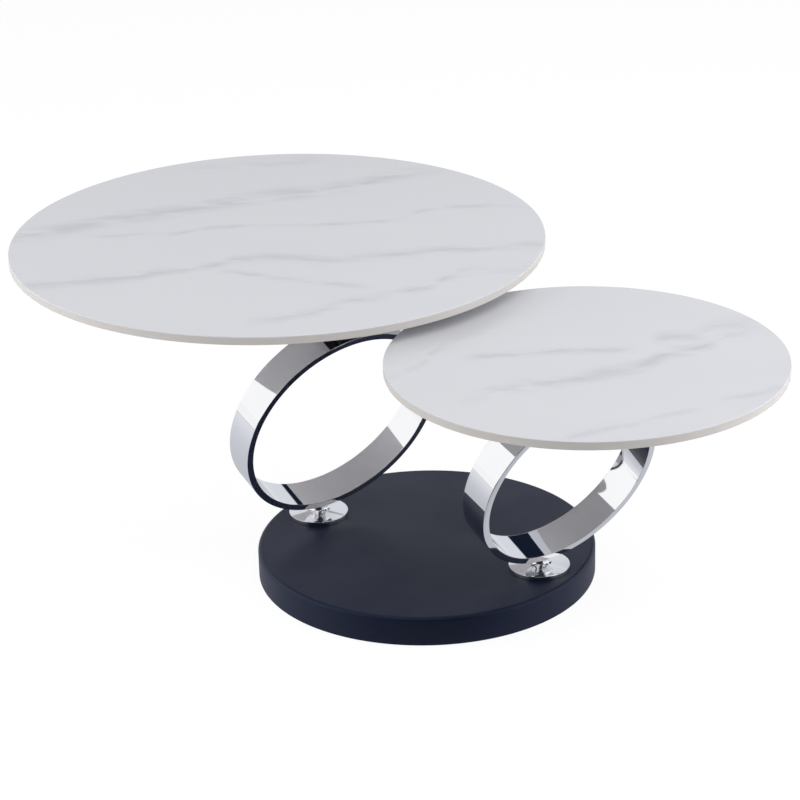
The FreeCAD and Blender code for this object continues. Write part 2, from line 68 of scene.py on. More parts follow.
# The hoops: flat bar rolled round, leaning, and turned off the line of the pivots.
HOOP_LEAN = math.radians(19.7)
HOOP_TURN = math.radians(-24.8)
BAND_WIDTH = 50 * MM
BAND_THICKNESS = 10 * MM
BAND_CHAMFER = 0.8 * MM

# The base's spun shell, and the hole in its roof for each pivot's collar.
SHELL_WALL = 3 * MM
SHELL_EDGE = 6 * MM
COLLAR_HOLE = 18 * MM
HOLE_SIDES = 64

# The pivot caps: recessed below, with a blind bore, a dish above and a sweep up to the hub.
CAP_RECESS = 34.5 * MM
CAP_RECESS_DEPTH = 1.3 * MM
CAP_BORE = 10 * MM
CAP_BORE_TOP = 8.7 * MM
CAP_RIM = 5.7 * MM
CAP_EASE = 0.6 * MM
CAP_HUB = 12 * MM
CAP_SWEEP = 6 * MM
CAP_DISH_RISE = 3 * MM

# The lower saddles: a round pad on a neck.  The neck is made to rise past the hoop's foot, and
# the hoop's round is then cut out of it.
NECK_RADIUS = 11 * MM
NECK_RISE = 11 * MM
NECK_SIDES = 96
PAD_RADIUS = 22 * MM
PAD_WALL = 5 * MM
PAD_BLANK = 4 * PAD_WALL
PAD_ROUND = 2.2 * MM

# The upper saddles: a block with rounded corners.
HEAD_LENGTH = 64 * MM
HEAD_WIDTH = 44 * MM
HEAD_CORNER = 8 * MM
HEAD_EASE = 0.5 * MM

# The stones' eased edge, and the height of a face's normal from which it is printed, or backed.
STONE_ARRIS = 1 * MM
PRINTED_FROM = 0.2
BACKED_FROM = -0.9

# Sides of a full round, the least angle that makes an edge to break, and the greatest one over
# which shading runs on smoothly.
ROUND = 256
EDGE_ANGLE = math.radians(40)
SMOOTH_ANGLE = math.radians(30)

# ------------------------------------------------------------------------------------ materials
# The patterns are noises in millimetres: a noise's Scale is one over the size of its features.
# A colour mix's two colours and its result go by number, because their names aren't their own.
COLOUR_A = 6
COLOUR_B = 7
MIXED = 2
# Nearly all of a noise lies between these.
NOISE_LOW = 0.3
NOISE_HIGH = 0.7
TO_MM = (1000, 1000, 1000)


def linear(hex_colour):
    """An sRGB hex colour as the linear RGBA that shader sockets take."""
    channels = [int(hex_colour[i:i + 2], 16) / 255 for i in (1, 3, 5)]
    return [c / 12.92 if c <= 0.04045 else ((c + 0.055) / 1.055) ** 2.4 for c in channels] + [1.0]


def add(tree, kind, inputs=None, output=0, **settings):
    """Adds a node with its settings.  Each of its inputs takes a value or another node's output,
    and what comes back is one output of the new node."""
    node = tree.nodes.new("ShaderNode" + kind)
    for name, value in settings.items():
        setattr(node, name, value)
    for socket, given in (inputs or {}).items():
        if isinstance(given, bpy.types.NodeSocket):
            tree.links.new(given, node.inputs[socket])
        else:
            node.inputs[socket].default_value = given
    return node.outputs[output] if node.outputs else None


def new_material(name, **constants):
    """A material with one Principled shader; its constants are set on the shader's own sockets."""
    material = bpy.data.materials.new(name)
    material.use_nodes = True
    tree = material.node_tree
    shader = tree.nodes["Principled BSDF"]
    for socket, value in constants.items():
        shader.inputs[socket.replace("_", " ")].default_value = value
    return material, tree, shader


def wire(tree, shader, **sources):
    """Links what varies over the surface into the shader's sockets."""
    for socket, source in sources.items():
        tree.links.new(source, shader.inputs[socket.replace("_", " ")])


def place_in_mm(tree):
    """Object coordinates in millimetres."""
    place = add(tree, "TexCoord", output="Object")
    return add(tree, "VectorMath", {0: place, 1: TO_MM}, operation="MULTIPLY")


def bright_chrome(name, roughness, ripple_mm):
    """Decorative chromium plate: a clean mirror with faint wiping haze and the slow ripple that
    the buffing wheel leaves.  On rolled bar reflections run almost straight; a buffed casting is
    softer and wavier."""
    material, tree, shader = new_material(name, Metallic=1.0)
    place = place_in_mm(tree)
    haze = add(tree, "TexNoise", {"Vector": place, "Scale": 1 / 60, "Detail": 4})
    ripple = add(tree, "TexNoise", {"Vector": place, "Scale": 1 / ripple_mm, "Detail": 1})
    colour = add(tree, "Mix", {"Factor": haze, COLOUR_A: linear("#F9F9FA"),
                               COLOUR_B: linear("#F4F5F7")}, MIXED, data_type="RGBA")
    softness = add(tree, "MapRange", {"Value": haze, "From Min": NOISE_LOW, "From Max": NOISE_HIGH,
                                      "To Min": 0.6 * roughness, "To Max": 1.4 * roughness})
    relief = add(tree, "Bump", {"Height": ripple, "Distance": 0.02 * MM, "Strength": 1})
    wire(tree, shader, Base_Color=colour, Roughness=softness, Normal=relief)
    return material


def satin_black_enamel():
    """Baked satin enamel on spun steel: blue-black, soft broad sheen, a fine orange peel of about
    1.5 mm and slow clouding of the gloss.  The sheen's blue tint is a painted reflection, the
    blue of the mirrored studio."""
    # Painted reflection: the specular tint makes the sheen bluer.
    material, tree, shader = new_material("satin_black_enamel", IOR=1.5, Specular_IOR_Level=0.4,
                                          Specular_Tint=linear("#DCE4FF"))
    place = place_in_mm(tree)
    cloud = add(tree, "TexNoise", {"Vector": place, "Scale": 1 / 90, "Detail": 3})
    peel = add(tree, "TexNoise", {"Vector": place, "Scale": 1 / 1.5, "Detail": 2})
    colour = add(tree, "Mix", {"Factor": cloud, COLOUR_A: linear("#0D152A"),
                               COLOUR_B: linear("#121A30")}, MIXED, data_type="RGBA")
    softness = add(tree, "MapRange", {"Value": cloud, "From Min": NOISE_LOW, "From Max": NOISE_HIGH,
                                      "To Min": 0.4, "To Max": 0.48})
    relief = add(tree, "Bump", {"Height": peel, "Distance": 0.02 * MM, "Strength": 0.6})
    wire(tree, shader, Base_Color=colour, Roughness=softness, Normal=relief)
    return material


# Veins of each stone, as a few points (right, away) in millimetres from its centre, with the
# vein's width in millimetres and its depth of colour.
LARGE_VEINS = (
    (((-500, -5), (-340, 50), (-265, 95), (-175, 125), (-95, 160), (-25, 190), (35, 205), (115, 235),
      (195, 280), (265, 295)), 16, 1.0),
    (((-330, 40), (-200, 22), (-90, 50), (60, 50), (170, 60), (212, 98), (280, 120), (390, 100)),
     5, 0.7),
    (((-450, -215), (-280, -165), (-210, -155), (-160, -135), (-100, -120), (-30, -85), (60, -100),
      (145, -90), (235, -75), (300, -70), (470, -55)), 10, 0.9),
    (((-90, -136), (0, -170), (70, -200), (150, -222)), 6, 0.8),
    (((-40, -340), (50, -320), (100, -280), (170, -250), (225, -220), (265, -170), (320, -160),
      (385, -150), (450, -150)), 9, 0.75),
    (((-160, 328), (-20, 352), (70, 362)), 12, 0.4))
SMALL_VEINS = (
    (((-170, 20), (-110, 20), (-30, 30), (80, 30)), 7, 0.8),
    (((-180, -140), (-120, -100), (-60, -80), (30, -50), (80, -25), (115, 15), (155, 30), (205, 70),
      (255, 100)), 11, 0.95),
    (((90, 65), (135, 70), (160, 75), (190, 105), (255, 120)), 12, 0.7),
    (((-60, -268), (0, -240), (80, -200), (150, -168)), 6, 0.5),
    (((150, -158), (200, -138), (280, -98)), 6, 0.5),
    (((-275, -60), (-235, -20), (-190, 60), (-110, 130)), 9, 0.5))
# How far those points' own sides are turned from X and Y.
VEIN_TURN = math.radians(31.413)
# Across a vein: how far its core and its halo reach, in widths, and how deep each is.
CORE_REACH = 0.7
CORE_DEPTH = 0.3
HALO_REACH = 3.2
HALO_DEPTH = 0.9
# Along a vein: the shares of its length by which it has faded in and from which it fades out.
FADED_IN = 0.12
FADES_OUT = 0.85
# Room that a vein's curve has above and below its points, in millimetres.
CURVE_ROOM = 20
# The noise that bends the veins spans this many millimetres, and the one that makes their wisps
# is drawn out along them.
WANDER = (19, 19, 0)
DRAWN_OUT = (0.3, 1, 1)


def vein(tree, along, across, wisps, points, width, depth):
    """How much of one vein shows: a faint core in a wispy halo that follows the points."""
    first, last = points[0][0], points[-1][0]
    heights = [point[1] for point in points]
    low = min(heights) - CURVE_ROOM
    high = max(heights) + CURVE_ROOM
    part = add(tree, "MapRange", {"Value": along, "From Min": first, "From Max": last})
    path = add(tree, "FloatCurve", {"Value": part})
    mapping = path.node.mapping
    curve = mapping.curves[0]
    for x, y in points[1:-1]:
        curve.points.new((x - first) / (last - first), (y - low) / (high - low))
    curve.points[0].location = (0, (heights[0] - low) / (high - low))
    curve.points[-1].location = (1, (heights[-1] - low) / (high - low))
    mapping.update()
    line = add(tree, "MapRange", {"Value": path, "To Min": low, "To Max": high})
    offset = add(tree, "Math", {0: across, 1: line}, operation="SUBTRACT")
    far = add(tree, "Math", {0: offset}, operation="ABSOLUTE")
    core = add(tree, "MapRange", {"Value": far, "From Min": 0, "From Max": CORE_REACH * width,
                                  "To Min": CORE_DEPTH * depth, "To Max": 0},
               interpolation_type="SMOOTHSTEP")
    halo = add(tree, "MapRange", {"Value": far, "From Min": 0, "From Max": HALO_REACH * width,
                                  "To Min": HALO_DEPTH * depth, "To Max": 0},
               interpolation_type="SMOOTHERSTEP")
    feathered = add(tree, "Math", {0: halo, 1: wisps, 2: core}, operation="MULTIPLY_ADD")
    fade_in = add(tree, "MapRange", {"Value": part, "From Max": FADED_IN})
    fade_out = add(tree, "MapRange", {"Value": part, "From Min": 1, "From Max": FADES_OUT})
    ends = add(tree, "Math", {0: fade_in, 1: fade_out}, operation="MULTIPLY")
    return add(tree, "Math", {0: feathered, 1: ends}, operation="MULTIPLY")


def veined_stone(name, centre, veins):
    """Sintered stone with a satin-polished printed face: cool white, long grey-blue veins that
    feather at their edges, and a very slow clouding between them."""
    material, tree, shader = new_material(name, IOR=1.5)
    place = add(tree, "TexCoord", output="Object")
    centred = add(tree, "VectorMath", {0: place, 1: centre}, operation="SUBTRACT")
    turned_place = add(tree, "VectorRotate", {"Vector": centred, "Angle": -VEIN_TURN},
                       rotation_type="Z_AXIS")
    in_mm = add(tree, "VectorMath", {0: turned_place, 1: TO_MM}, operation="MULTIPLY")
    drift = add(tree, "TexNoise", {"Vector": in_mm, "Scale": 1 / 55, "Detail": 6, "Roughness": 0.6},
                "Color")
    shift = add(tree, "VectorMath", {0: drift, 1: (0.5, 0.5, 0.5)}, operation="SUBTRACT")
    push = add(tree, "VectorMath", {0: shift, 1: WANDER}, operation="MULTIPLY")
    bent = add(tree, "VectorMath", {0: in_mm, 1: push}, operation="ADD")
    sides = add(tree, "SeparateXYZ", {0: bent}).node.outputs
    stretched = add(tree, "VectorMath", {0: bent, 1: DRAWN_OUT}, operation="MULTIPLY")
    streaks = add(tree, "TexNoise", {"Vector": stretched, "Scale": 1 / 22, "Detail": 4})
    wisps = add(tree, "MapRange", {"Value": streaks, "From Min": 0.38, "From Max": 0.62})
    shown = 0.0
    for points, width, depth in veins:
        one = vein(tree, sides["X"], sides["Y"], wisps, points, width, depth)
        shown = add(tree, "Math", {0: shown, 1: one}, operation="MAXIMUM")
    cloud = add(tree, "TexNoise", {"Vector": stretched, "Scale": 1 / 130, "Detail": 3})
    ground = add(tree, "Mix", {"Factor": cloud, COLOUR_A: linear("#D8D9DD"),
                               COLOUR_B: linear("#D3D4D9")}, MIXED, data_type="RGBA")
    colour = add(tree, "Mix", {"Factor": shown, COLOUR_A: ground, COLOUR_B: linear("#C4C5CB")},
                 MIXED, data_type="RGBA")
    softness = add(tree, "MapRange", {"Value": cloud, "From Min": NOISE_LOW, "From Max": NOISE_HIGH,
                                      "To Min": 0.18, "To Max": 0.24})
    wire(tree, shader, Base_Color=colour, Roughness=softness)
    return material


def stone_body():
    """The unprinted body of the sintered stone, as its ground rim shows it: warm grey and matt.
    The grit is drawn at about 1 mm, coarser than it is, so that it shows."""
    material, tree, shader = new_material("stone_body", IOR=1.5, Specular_IOR_Level=0.4)
    place = place_in_mm(tree)
    grit = add(tree, "TexNoise", {"Vector": place, "Scale": 1, "Detail": 3})
    cloud = add(tree, "TexNoise", {"Vector": place, "Scale": 1 / 40, "Detail": 2})
    speckle = add(tree, "Mix", {"Factor": grit, COLOUR_A: linear("#C6C2BF"),
                                COLOUR_B: linear("#D1CDCA")}, MIXED, data_type="RGBA")
    colour = add(tree, "Mix", {"Factor": cloud, COLOUR_A: speckle, COLOUR_B: linear("#CAC6C3")},
                 MIXED, data_type="RGBA")
    softness = add(tree, "MapRange", {"Value": grit, "From Min": NOISE_LOW, "From Max": NOISE_HIGH,
                                      "To Min": 0.55, "To Max": 0.7})
    relief = add(tree, "Bump", {"Height": grit, "Distance": 0.03 * MM, "Strength": 0.5})
    wire(tree, shader, Base_Color=colour, Roughness=softness, Normal=relief)
    return material


# The backing sheet's straight edge: the way that it faces, and how far it is from the middle of
# each stone.  Past it the underside is painted light, a bright mirror.  The large sheet's edge is
# past its rim, so it covers that stone.
SHEET_SIDE = (-0.376, 0.927, 0)
SHEET_EDGES = {"large": 0.41, "small": 0.213}
SHEET_FEATHER = 1 * MM


def stone_backing(name, centre, sheet_edge):
    """Grey resin backing rolled on the underside: matt, with a slow mottle of about 25 mm.  Past
    the straight edge of its sheet the underside is painted light: a bright polished mirror of the
    floor."""
    material, tree, shader = new_material(name, IOR=1.5)
    place = add(tree, "TexCoord", output="Object")
    centred = add(tree, "VectorMath", {0: place, 1: centre}, operation="SUBTRACT")
    past = add(tree, "VectorMath", {0: centred, 1: SHEET_SIDE}, "Value", operation="DOT_PRODUCT")
    # Painted light: past the sheet's edge the underside turns bright, metallic and glossy.
    bare = add(tree, "MapRange", {"Value": past, "From Min": sheet_edge,
                                  "From Max": sheet_edge + SHEET_FEATHER})
    mottle = add(tree, "TexNoise", {"Vector": place_in_mm(tree), "Scale": 1 / 25, "Detail": 4})
    resin = add(tree, "Mix", {"Factor": mottle, COLOUR_A: linear("#C2C0C2"),
                              COLOUR_B: linear("#CBC9CB")}, MIXED, data_type="RGBA")
    colour = add(tree, "Mix", {"Factor": bare, COLOUR_A: resin, COLOUR_B: linear("#F0F0F2")},
                 MIXED, data_type="RGBA")
    softness = add(tree, "MapRange", {"Value": bare, "To Min": 0.6, "To Max": 0.12})
    wire(tree, shader, Base_Color=colour, Metallic=bare, Roughness=softness)
    return material


def mottled(name, constants, colour, darker, roughness, grain_mm, swing, depth_mm, strength):
    """A finish whose colour, gloss and relief follow one mottle of its own grain size."""
    material, tree, shader = new_material(name, **constants)
    mottle = add(tree, "TexNoise", {"Vector": place_in_mm(tree), "Scale": 1 / grain_mm, "Detail": 4})
    tone = add(tree, "Mix", {"Factor": mottle, COLOUR_A: linear(colour), COLOUR_B: linear(darker)},
               MIXED, data_type="RGBA")
    softness = add(tree, "MapRange", {"Value": mottle, "From Min": NOISE_LOW, "From Max": NOISE_HIGH,
                                      "To Min": roughness - swing, "To Max": roughness + swing})
    relief = add(tree, "Bump", {"Height": mottle, "Distance": depth_mm * MM, "Strength": strength})
    wire(tree, shader, Base_Color=tone, Roughness=softness, Normal=relief)
    return material


def plain_metal(name, colour, darker, roughness, grain_mm):
    """A bare or plated metal, used on hidden hardware."""
    return mottled(name, {"Metallic": 1.0}, colour, darker, roughness, grain_mm,
                   swing=0.06, depth_mm=0.02, strength=0.4)


def plain_coat(name, colour, darker, roughness, grain_mm, depth_mm):
    """A coating, plastic or foam with a surface texture of some depth."""
    return mottled(name, {"IOR": 1.5}, colour, darker, roughness, grain_mm,
                   swing=0.05, depth_mm=depth_mm, strength=0.6)


# ------------------------------------------------------------------------------ modelling tools
def deselect():
    """Nothing is selected, so that the next operator acts on its own piece alone."""
    bpy.ops.object.select_all(action="DESELECT")


def only(piece):
    """The piece is the one that operators act on."""
    deselect()
    piece.select_set(True)
    bpy.context.view_layer.objects.active = piece


def arc(centre, radius, start, end, steps):
    """Points of an arc in a half outline, by angle in degrees from outwards to upwards."""
    angles = [math.radians(start + (end - start) * i / steps) for i in range(steps + 1)]
    return [(centre[0] + radius * math.cos(a), centre[1] + radius * math.sin(a)) for a in angles]


def turned(name, outline, place):
    """A lathe-turned piece: a disc, extruded and scaled from point to point of its half outline,
    which starts and ends with the flat that closes it."""
    deselect()
    radius, height = outline[0]
    bpy.ops.mesh.primitive_circle_add(vertices=ROUND, radius=radius, fill_type="NGON",
                                      location=place + Vector((0, 0, height)))
    piece = bpy.context.object
    piece.name = name
    bpy.ops.object.mode_set(mode="EDIT")
    bpy.ops.mesh.select_all(action="SELECT")
    for next_radius, next_height in outline[1:]:
        bpy.ops.mesh.extrude_region_move(TRANSFORM_OT_translate={"value": (0, 0, next_height - height)})
        ratio = next_radius / radius
        bpy.ops.transform.resize(value=(ratio, ratio, 1),
                                 center_override=place + Vector((0, 0, next_height)))
        radius, height = next_radius, next_height
    bpy.ops.mesh.select_all(action="SELECT")
    bpy.ops.mesh.normals_make_consistent(inside=False)
    bpy.ops.object.mode_set(mode="OBJECT")
    return piece


def apply_modifier(piece, kind, **settings):
    """A modifier, set and then made part of the mesh."""
    only(piece)
    modifier = piece.modifiers.new(kind.lower(), kind)
    for name, value in settings.items():
        setattr(modifier, name, value)
    bpy.ops.object.modifier_apply(modifier=modifier.name)


def cut(piece, tool, operation="DIFFERENCE"):
    """Boolean of two pieces; the tool is used up."""
    apply_modifier(piece, "BOOLEAN", operation=operation, object=tool, solver="EXACT")
    bpy.data.objects.remove(tool)


def break_edges(piece, width, segments):
    """Every edge sharper than EDGE_ANGLE is chamfered or rounded."""
    apply_modifier(piece, "BEVEL", width=width, segments=segments, limit_method="ANGLE",
                   angle_limit=EDGE_ANGLE)


def cylinder(radius, depth, place, turn=(0, 0, 0), vertices=ROUND):
    """A round bar about its own centre, to build with or to cut with."""
    deselect()
    bpy.ops.mesh.primitive_cylinder_add(vertices=vertices, radius=radius, depth=depth, location=place,
                                        rotation=turn)
    only(bpy.context.object)
    bpy.ops.object.transform_apply(location=True, rotation=True, scale=True)
    return bpy.context.object


def finish_piece(piece, node, materials):
    """Smooth shading with true flats, then the piece takes the CAD node's place on its body."""
    only(piece)
    bpy.ops.object.transform_apply(location=True, rotation=True, scale=True)
    bpy.ops.object.shade_smooth_by_angle(angle=SMOOTH_ANGLE)
    apply_modifier(piece, "WEIGHTED_NORMAL", weight=100, keep_sharp=True)
    for material in materials:
        piece.data.materials.append(material)
    body = frame["nodes"][node]["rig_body"]
    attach(piece, body)
    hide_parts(node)


# ------------------------------------------------------------------------- places from the frame
def middle(node):
    """The middle of a CAD node's box."""
    low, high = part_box(node)
    return (low + high) / 2


def hoop_turn():
    """Columns: along the band's round sideways, up the lean, and out of the hoop's face."""
    turn = Matrix.Rotation(HOOP_TURN, 3, "Z")
    across = turn @ Vector((0, 1, 0))
    up = turn @ Vector((math.sin(HOOP_LEAN), 0, math.cos(HOOP_LEAN)))
    return Matrix((across, up, across.cross(up))).transposed()


HOOP_AXES = hoop_turn()
HOOP_EULER = HOOP_AXES.to_euler()
HOOP_UP = HOOP_AXES.col[1]


def hoop_radius(which):
    """Outer radius, from how high the leaning band's box is."""
    low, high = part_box(which + "_ring")
    side = (BAND_WIDTH / 2 - BAND_CHAMFER) * math.sin(HOOP_LEAN)
    return ((high.z - low.z) / 2 - side) / math.cos(HOOP_LEAN)


def hoop_core(which, grow=0.0):
    """A bar that fills the hoop's round and stands out on both sides, to shape saddles with."""
    return cylinder(hoop_radius(which) + grow, 2 * BAND_WIDTH, middle(which + "_ring"), HOOP_EULER)


# --------------------------------------------------------------------------------- the pieces
def make_base_shell(material):
    """Spun drum, open below, with a rounded edge and a hole in its roof for each pivot."""
    low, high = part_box("base_shell")
    rim = (high.x - low.x) / 2
    inner = SHELL_EDGE - SHELL_WALL
    roof = high.z - SHELL_WALL
    wall = rim - SHELL_WALL
    outline = [(wall - inner, roof)]
    outline += arc((wall - inner, roof - inner), inner, 90, 0, steps=5)[1:]
    outline += [(wall, low.z), (rim, low.z)]
    outline += arc((rim - SHELL_EDGE, high.z - SHELL_EDGE), SHELL_EDGE, 0, 90, steps=10)
    shell = turned("base_shell_skin", outline, Vector((0, 0, 0)))
    for which in UNITS:
        pivot = middle(which + "_flange_cap")
        drill = cylinder(COLLAR_HOLE, 4 * SHELL_WALL, (pivot.x, pivot.y, high.z), vertices=HOLE_SIDES)
        cut(shell, drill)
    finish_piece(shell, "base_shell", [material])


def make_caps(material):
    """Trumpet-shaped caps: recessed below over a washer, dished above, swept up to the hub.  The
    two are alike, so one is turned and the other is a copy of it on its own pivot."""
    low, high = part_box("large_flange_cap")
    rim = (high.x - low.x) / 2
    top = high.z - low.z
    slope_foot = (CAP_HUB, CAP_RIM + CAP_DISH_RISE)
    slope = math.atan2(slope_foot[1] - CAP_RIM, slope_foot[0] - rim)
    dish = math.pi - slope
    reach = CAP_SWEEP * math.tan((math.pi / 2 - dish) / 2)
    centre = (CAP_HUB + CAP_SWEEP, slope_foot[1] + reach)
    outline = [(CAP_BORE, CAP_BORE_TOP), (CAP_BORE, CAP_RECESS_DEPTH + CAP_EASE),
               (CAP_RECESS, CAP_RECESS_DEPTH + CAP_EASE), (CAP_RECESS, 0),
               (rim - CAP_EASE / 2, 0), (rim, CAP_EASE / 2)]
    outline += arc((rim - CAP_EASE, CAP_RIM - CAP_EASE), CAP_EASE, 0, 90 - math.degrees(dish), steps=5)
    outline += arc(centre, CAP_SWEEP, 270 - math.degrees(dish), 180, steps=10)
    outline += arc((CAP_HUB - CAP_EASE, top - CAP_EASE), CAP_EASE, 0, 90, steps=4)
    pivot = middle("large_flange_cap")
    cap = turned("large_flange_cap_skin", outline, Vector((pivot.x, pivot.y, low.z)))
    only(cap)
    bpy.ops.object.duplicate()
    twin = bpy.context.object
    twin.name = "small_flange_cap_skin"
    twin.location += middle("small_flange_cap") - pivot
    for which, piece in zip(UNITS, (cap, twin)):
        finish_piece(piece, which + "_flange_cap", [material])


def make_hoop(which, material):
    """Rolled flat bar: an open band given its thickness, with its edges broken."""
    deselect()
    bpy.ops.mesh.primitive_cylinder_add(vertices=ROUND, radius=hoop_radius(which), depth=BAND_WIDTH,
                                        end_fill_type="NOTHING", location=middle(which + "_ring"),
                                        rotation=HOOP_EULER)
    hoop = bpy.context.object
    hoop.name = which + "_hoop_band"
    apply_modifier(hoop, "SOLIDIFY", thickness=BAND_THICKNESS, offset=-1)
    break_edges(hoop, BAND_CHAMFER, 2)
    finish_piece(hoop, which + "_ring", [material])


def make_lower_saddle(which, material):
    """Neck on the cap's hub, with a round pad that follows the leaning hoop."""
    pivot = middle(which + "_flange_cap")
    hub_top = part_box(which + "_flange_cap")[1].z
    bottom = middle(which + "_ring") - HOOP_UP * hoop_radius(which)
    lean = Vector((0, 0, 1)).rotation_difference(HOOP_UP).to_euler()
    saddle = cylinder(PAD_RADIUS, PAD_BLANK, bottom, lean)
    saddle.name = which + "_saddle_pad"
    cut(saddle, hoop_core(which, PAD_WALL), "INTERSECT")
    neck_top = bottom.z + NECK_RISE
    neck = cylinder(NECK_RADIUS, neck_top - hub_top, (pivot.x, pivot.y, (neck_top + hub_top) / 2),
                    vertices=NECK_SIDES)
    cut(saddle, neck, "UNION")
    cut(saddle, hoop_core(which), "DIFFERENCE")
    break_edges(saddle, PAD_ROUND, 4)
    finish_piece(saddle, which + "_lower_saddle", [material])


def make_upper_saddle(which, material):
    """Block under the support plate: level above, hollowed below to the hoop's round."""
    low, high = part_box(which + "_upper_saddle")
    top = middle(which + "_ring") + HOOP_UP * hoop_radius(which)
    deselect()
    bpy.ops.mesh.primitive_cube_add(size=1, location=(top.x, top.y, (low.z + high.z) / 2),
                                    rotation=(0, 0, HOOP_TURN),
                                    scale=(HEAD_WIDTH, HEAD_LENGTH, high.z - low.z))
    block = bpy.context.object
    block.name = which + "_head_block"
    only(block)
    bpy.ops.object.transform_apply(location=True, rotation=True, scale=True)
    for edge in block.data.edges:
        ends = [block.data.vertices[i].co for i in edge.vertices]
        edge.select = abs(ends[0].z - ends[1].z) > HEAD_CORNER
    bpy.ops.object.mode_set(mode="EDIT")
    bpy.ops.mesh.select_mode(type="EDGE")
    bpy.ops.mesh.bevel(offset=HEAD_CORNER, segments=8, affect="EDGES")
    bpy.ops.object.mode_set(mode="OBJECT")
    cut(block, hoop_core(which), "DIFFERENCE")
    break_edges(block, HEAD_EASE, 2)
    finish_piece(block, which + "_upper_saddle", [material])


def make_stone(which, face, body, backing):
    """Round stone with eased arrises: bare at the rim, printed above, backed with resin below,
    which is the order of its three materials."""
    low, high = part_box(which + "_top")
    centre = (low + high) / 2
    rim = (high.x - low.x) / 2
    thick = high.z - low.z
    outline = [(rim - STONE_ARRIS, 0)]
    outline += arc((rim - STONE_ARRIS, STONE_ARRIS), STONE_ARRIS, -60, 0, steps=2)
    outline += arc((rim - STONE_ARRIS, thick - STONE_ARRIS), STONE_ARRIS, 0, 90, steps=3)
    stone = turned(which + "_stone_disc", outline, Vector((centre.x, centre.y, low.z)))
    finish_piece(stone, which + "_top", [body, face, backing])
    for polygon in stone.data.polygons:
        if polygon.normal.z > PRINTED_FROM:
            polygon.material_index = 1
        elif polygon.normal.z < BACKED_FROM:
            polygon.material_index = 2


# ------------------------------------------------------------------------------------- studio
# The camera: its focal length is counted in pixels of its square frame, and it sees as far as
# FAR_SIGHT.  The studio's own sides are turned with it: X to its right, Y away from it.
CAMERA_PLACE = (1.8027, -3.0159, 1.7747)
CAMERA_TURN = math.radians(31.413)
CAMERA_PITCH = math.radians(23.265)
CAMERA_ROLL = math.radians(1.421)
SENSOR = 36.0
FOCAL_PIXELS = 2700
FRAME_PIXELS = 800
FAR_SIGHT = 100


def make_camera():
    """Looks down at the table from its front right, rolled by a hair."""
    data = bpy.data.cameras.new("studio_camera")
    data.sensor_width = SENSOR
    data.lens = SENSOR * FOCAL_PIXELS / FRAME_PIXELS
    data.clip_end = FAR_SIGHT
    camera = bpy.data.objects.new("studio_camera", data)
    camera.matrix_world = (Matrix.Translation(CAMERA_PLACE) @ Matrix.Rotation(CAMERA_TURN, 4, "Z")
                           @ Matrix.Rotation(math.pi / 2 - CAMERA_PITCH, 4, "X")
                           @ Matrix.Rotation(-CAMERA_ROLL, 4, "Z"))
    bpy.context.scene.collection.objects.link(camera)
    bpy.context.scene.camera = camera


def ray_kinds(tree):
    """Shares of a ray that is seen straight or through glass, and of one that a gloss mirrors."""
    path = add(tree, "LightPath").node.outputs
    straight = add(tree, "Math", {0: path["Is Camera Ray"], 1: path["Is Transmission Ray"]},
                   operation="MAXIMUM")
    return straight, path["Is Glossy Ray"]


def in_studio(tree, place):
    """A place or direction by the studio's own sides."""
    turned_place = add(tree, "VectorRotate", {"Vector": place, "Angle": -CAMERA_TURN},
                       rotation_type="Z_AXIS")
    return add(tree, "SeparateXYZ", {0: turned_place}).node.outputs


WHITE = linear("#FFFFFF")
# The plain level of light that the world casts on the table.
WORLD_LIGHT = 0.43
# Where the parts of the mirrored studio begin and where they are whole, as a direction's height,
# or its share away from the camera (Y) or to the right (X).
BACKDROP_TOP = math.sin(math.radians(21.5))
BACKDROP_SOFT = 0.012
ROOM_AWAY = (0.1, 0.2)
ROOM_RIGHT = (0.14, 0.22)
CAMERA_SIDE = (-0.5, -0.1)
WALLS = (0.6, 0.75)


